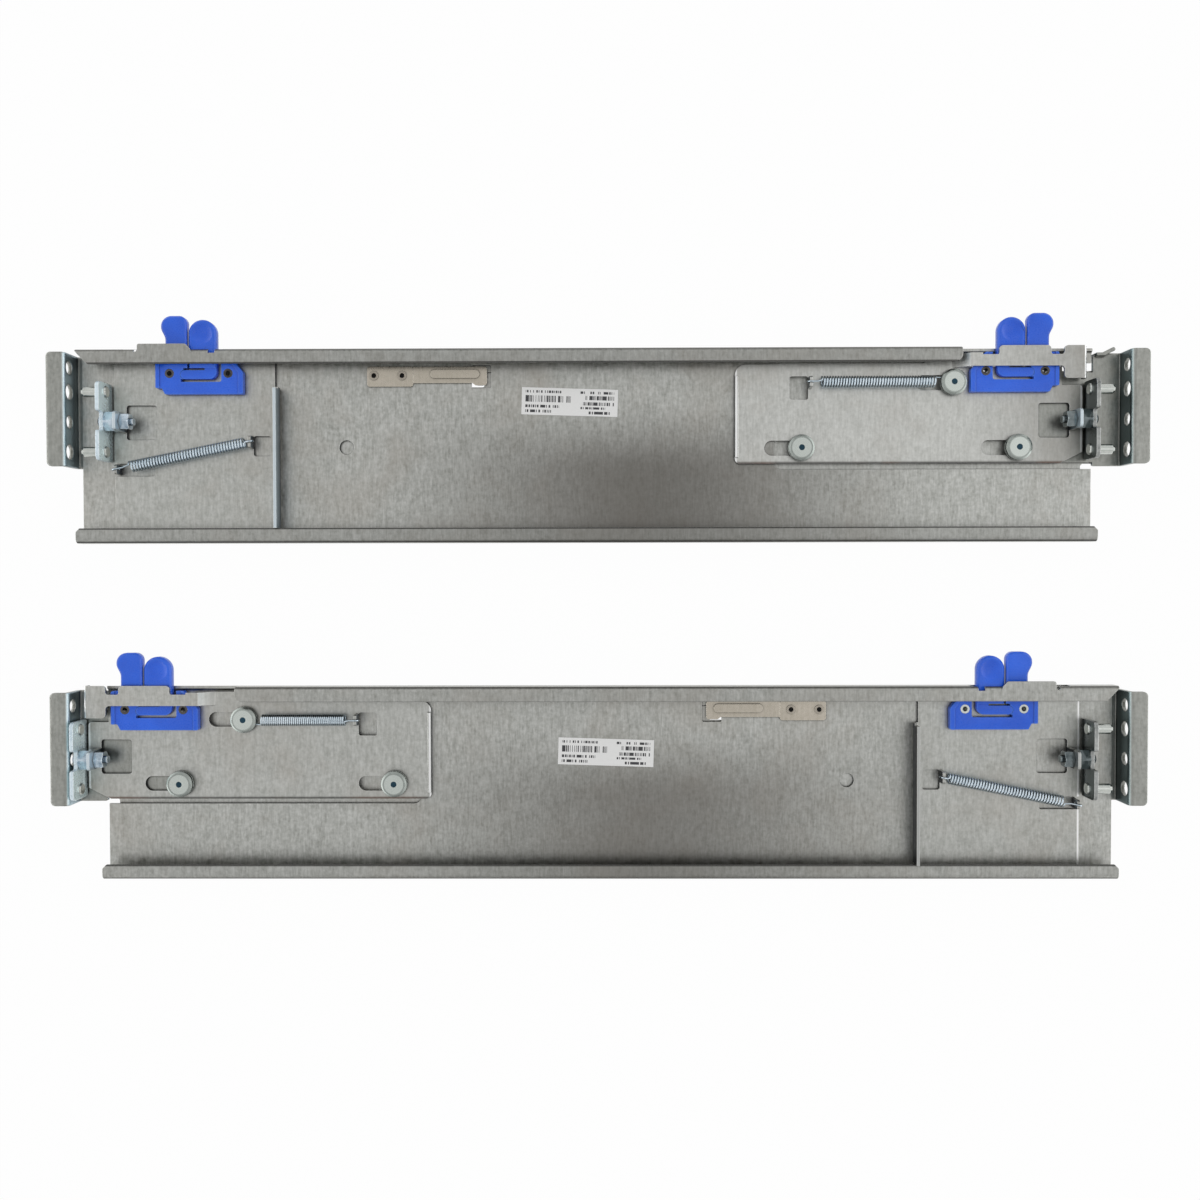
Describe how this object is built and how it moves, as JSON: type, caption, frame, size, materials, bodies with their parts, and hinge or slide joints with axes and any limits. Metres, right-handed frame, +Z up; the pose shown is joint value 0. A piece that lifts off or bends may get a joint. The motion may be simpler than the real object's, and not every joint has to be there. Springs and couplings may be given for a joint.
{
  "type": "server rail pair",
  "caption": "Pair of telescoping rack rails with sprung pin carriers, blue squeeze latches, bent mounting ears and ball-bearing slides on the server side.",
  "frame": {"origin": "middle of the pair's bounding box, at floor level", "axes": "+X along the rails, towards the left-hand rail's front and the right-hand rail's rear; +Y across the pair, from the right-hand rail to the left-hand one; +Z up, away from the server"},
  "size_m": [0.578, 0.3006, 0.0342],
  "materials": {
    "galvanised_steel": "galvanised, fine cross grain",
    "zinc_plate": "bright zinc",
    "blue_plastic": "satin",
    "leaf_steel": "plain spring steel",
    "plated_fastener": "bright plated",
    "spring_wire": "bright wire",
    "slide_steel": "bright zinc"
  },
  "bodies": {
    "bases": {"left_slide_base": "galvanised_steel", "left_front_ear": "zinc_plate", "left_shoulder_screws": "plated_fastener", "left_slide_outer": "slide_steel", "right_slide_base": "galvanised_steel", "right_front_ear": "zinc_plate", "right_shoulder_screws": "plated_fastener", "right_slide_outer": "slide_steel"},
    "left_rail": {"left_rail_channel": "galvanised_steel", "left_guide_tracks": "galvanised_steel", "left_rear_ear": "zinc_plate", "left_leaf_mount": "leaf_steel", "left_leaf_rivets": "plated_fastener", "left_rear_spring": "spring_wire"},
    "left_release_leaf": {"left_leaf_tongue": "leaf_steel"},
    "left_rear_carrier": {"left_rear_carrier_plate": "galvanised_steel", "left_rear_pin_bracket": "zinc_plate", "left_rear_pins": "plated_fastener", "left_rear_bracket_bolt": "plated_fastener", "left_rear_latch_body": "blue_plastic", "left_rear_latch_rivets": "plated_fastener"},
    "left_rear_finger": {"left_rear_latch_finger": "blue_plastic"},
    "left_front_carrier": {"left_front_carrier_plate": "galvanised_steel", "left_front_pin_bracket": "zinc_plate", "left_front_pins": "plated_fastener", "left_front_bracket_bolt": "plated_fastener", "left_front_latch_body": "blue_plastic", "left_front_latch_rivets": "plated_fastener", "left_front_spring": "spring_wire"},
    "left_front_finger": {"left_front_latch_finger": "blue_plastic"},
    "left_middle_member": {"left_slide_middle": "slide_steel"},
    "left_inner_member": {"left_slide_inner": "slide_steel"},
    "left_outer_cage": {"left_outer_ball_cage": "slide_steel"},
    "left_inner_cage": {"left_inner_ball_cage": "slide_steel"},
    "right_rail": {"right_rail_channel": "galvanised_steel", "right_guide_tracks": "galvanised_steel", "right_rear_ear": "zinc_plate", "right_leaf_mount": "leaf_steel", "right_leaf_rivets": "plated_fastener", "right_rear_spring": "spring_wire"},
    "right_release_leaf": {"right_leaf_tongue": "leaf_steel"},
    "right_rear_carrier": {"right_rear_carrier_plate": "galvanised_steel", "right_rear_pin_bracket": "zinc_plate", "right_rear_pins": "plated_fastener", "right_rear_bracket_bolt": "plated_fastener", "right_rear_latch_body": "blue_plastic", "right_rear_latch_rivets": "plated_fastener"},
    "right_rear_finger": {"right_rear_latch_finger": "blue_plastic"},
    "right_front_carrier": {"right_front_carrier_plate": "galvanised_steel", "right_front_pin_bracket": "zinc_plate", "right_front_pins": "plated_fastener", "right_front_bracket_bolt": "plated_fastener", "right_front_latch_body": "blue_plastic", "right_front_latch_rivets": "plated_fastener", "right_front_spring": "spring_wire"},
    "right_front_finger": {"right_front_latch_finger": "blue_plastic"},
    "right_middle_member": {"right_slide_middle": "slide_steel"},
    "right_inner_member": {"right_slide_inner": "slide_steel"},
    "right_outer_cage": {"right_outer_ball_cage": "slide_steel"},
    "right_inner_cage": {"right_inner_ball_cage": "slide_steel"}
  },
  "joints": [
    {"name": "left_depth_adjustment", "type": "slide", "parent": "bases", "child": "left_rail", "axis": [-1, 0, 0], "range_m": [0, 0.178]},
    {"name": "left_leaf_lift", "type": "hinge", "parent": "left_rail", "child": "left_release_leaf", "pos_m": [-0.0982, 0.11905, 0.0168], "axis": [0, -1, 0], "range_deg": [0, 8], "stiffness_Nm_per_rad": 0.5},
    {"name": "left_rear_lock", "type": "slide", "parent": "left_rail", "child": "left_rear_carrier", "axis": [-1, 0, 0], "range_m": [0, 0.0155], "deforming": ["left_rear_spring"]},
    {"name": "left_rear_squeeze", "type": "hinge", "parent": "left_rear_carrier", "child": "left_rear_finger", "pos_m": [-0.2192, 0.11915, 0.0202], "axis": [0, 0, -1], "range_deg": [0, 4], "stiffness_Nm_per_rad": 0.2},
    {"name": "left_front_lock", "type": "slide", "parent": "bases", "child": "left_front_carrier", "axis": [1, 0, 0], "range_m": [0, 0.0155], "deforming": ["left_front_spring"]},
    {"name": "left_front_squeeze", "type": "hinge", "parent": "left_front_carrier", "child": "left_front_finger", "pos_m": [0.2294, 0.11915, 0.0202], "axis": [0, 0, 1], "range_deg": [0, 4], "stiffness_Nm_per_rad": 0.2},
    {"name": "left_middle_draw", "type": "slide", "parent": "bases", "child": "left_middle_member", "axis": [1, 0, 0], "range_m": [0, 0.26]},
    {"name": "left_inner_draw", "type": "slide", "parent": "left_middle_member", "child": "left_inner_member", "axis": [1, 0, 0], "range_m": [0, 0.26]},
    {"name": "left_outer_cage_roll", "type": "slide", "parent": "bases", "child": "left_outer_cage", "axis": [1, 0, 0], "range_m": [0, 0.13]},
    {"name": "left_inner_cage_roll", "type": "slide", "parent": "left_middle_member", "child": "left_inner_cage", "axis": [1, 0, 0], "range_m": [0, 0.13]},
    {"name": "right_depth_adjustment", "type": "slide", "parent": "bases", "child": "right_rail", "axis": [1, 0, 0], "range_m": [0, 0.178]},
    {"name": "right_leaf_lift", "type": "hinge", "parent": "right_rail", "child": "right_release_leaf", "pos_m": [0.0982, -0.06045, 0.0168], "axis": [0, 1, 0], "range_deg": [0, 8], "stiffness_Nm_per_rad": 0.5},
    {"name": "right_rear_lock", "type": "slide", "parent": "right_rail", "child": "right_rear_carrier", "axis": [1, 0, 0], "range_m": [0, 0.0155], "deforming": ["right_rear_spring"]},
    {"name": "right_rear_squeeze", "type": "hinge", "parent": "right_rear_carrier", "child": "right_rear_finger", "pos_m": [0.2192, -0.06035, 0.0202], "axis": [0, 0, 1], "range_deg": [0, 4], "stiffness_Nm_per_rad": 0.2},
    {"name": "right_front_lock", "type": "slide", "parent": "bases", "child": "right_front_carrier", "axis": [-1, 0, 0], "range_m": [-0.0155, 0], "deforming": ["right_front_spring"]},
    {"name": "right_front_squeeze", "type": "hinge", "parent": "right_front_carrier", "child": "right_front_finger", "pos_m": [-0.2449, -0.06035, 0.0202], "axis": [0, 0, -1], "range_deg": [0, 4], "stiffness_Nm_per_rad": 0.2},
    {"name": "right_middle_draw", "type": "slide", "parent": "bases", "child": "right_middle_member", "axis": [-1, 0, 0], "range_m": [0, 0.26]},
    {"name": "right_inner_draw", "type": "slide", "parent": "right_middle_member", "child": "right_inner_member", "axis": [-1, 0, 0], "range_m": [0, 0.26]},
    {"name": "right_outer_cage_roll", "type": "slide", "parent": "bases", "child": "right_outer_cage", "axis": [-1, 0, 0], "range_m": [0, 0.13]},
    {"name": "right_inner_cage_roll", "type": "slide", "parent": "right_middle_member", "child": "right_inner_cage", "axis": [-1, 0, 0], "range_m": [0, 0.13]}
  ],
  "couplings": [
    {"joint": "left_outer_cage_roll", "follows": "left_middle_draw", "ratio": 0.5},
    {"joint": "left_inner_cage_roll", "follows": "left_inner_draw", "ratio": 0.5},
    {"joint": "right_outer_cage_roll", "follows": "right_middle_draw", "ratio": 0.5},
    {"joint": "right_inner_cage_roll", "follows": "right_inner_draw", "ratio": 0.5}
  ]
}
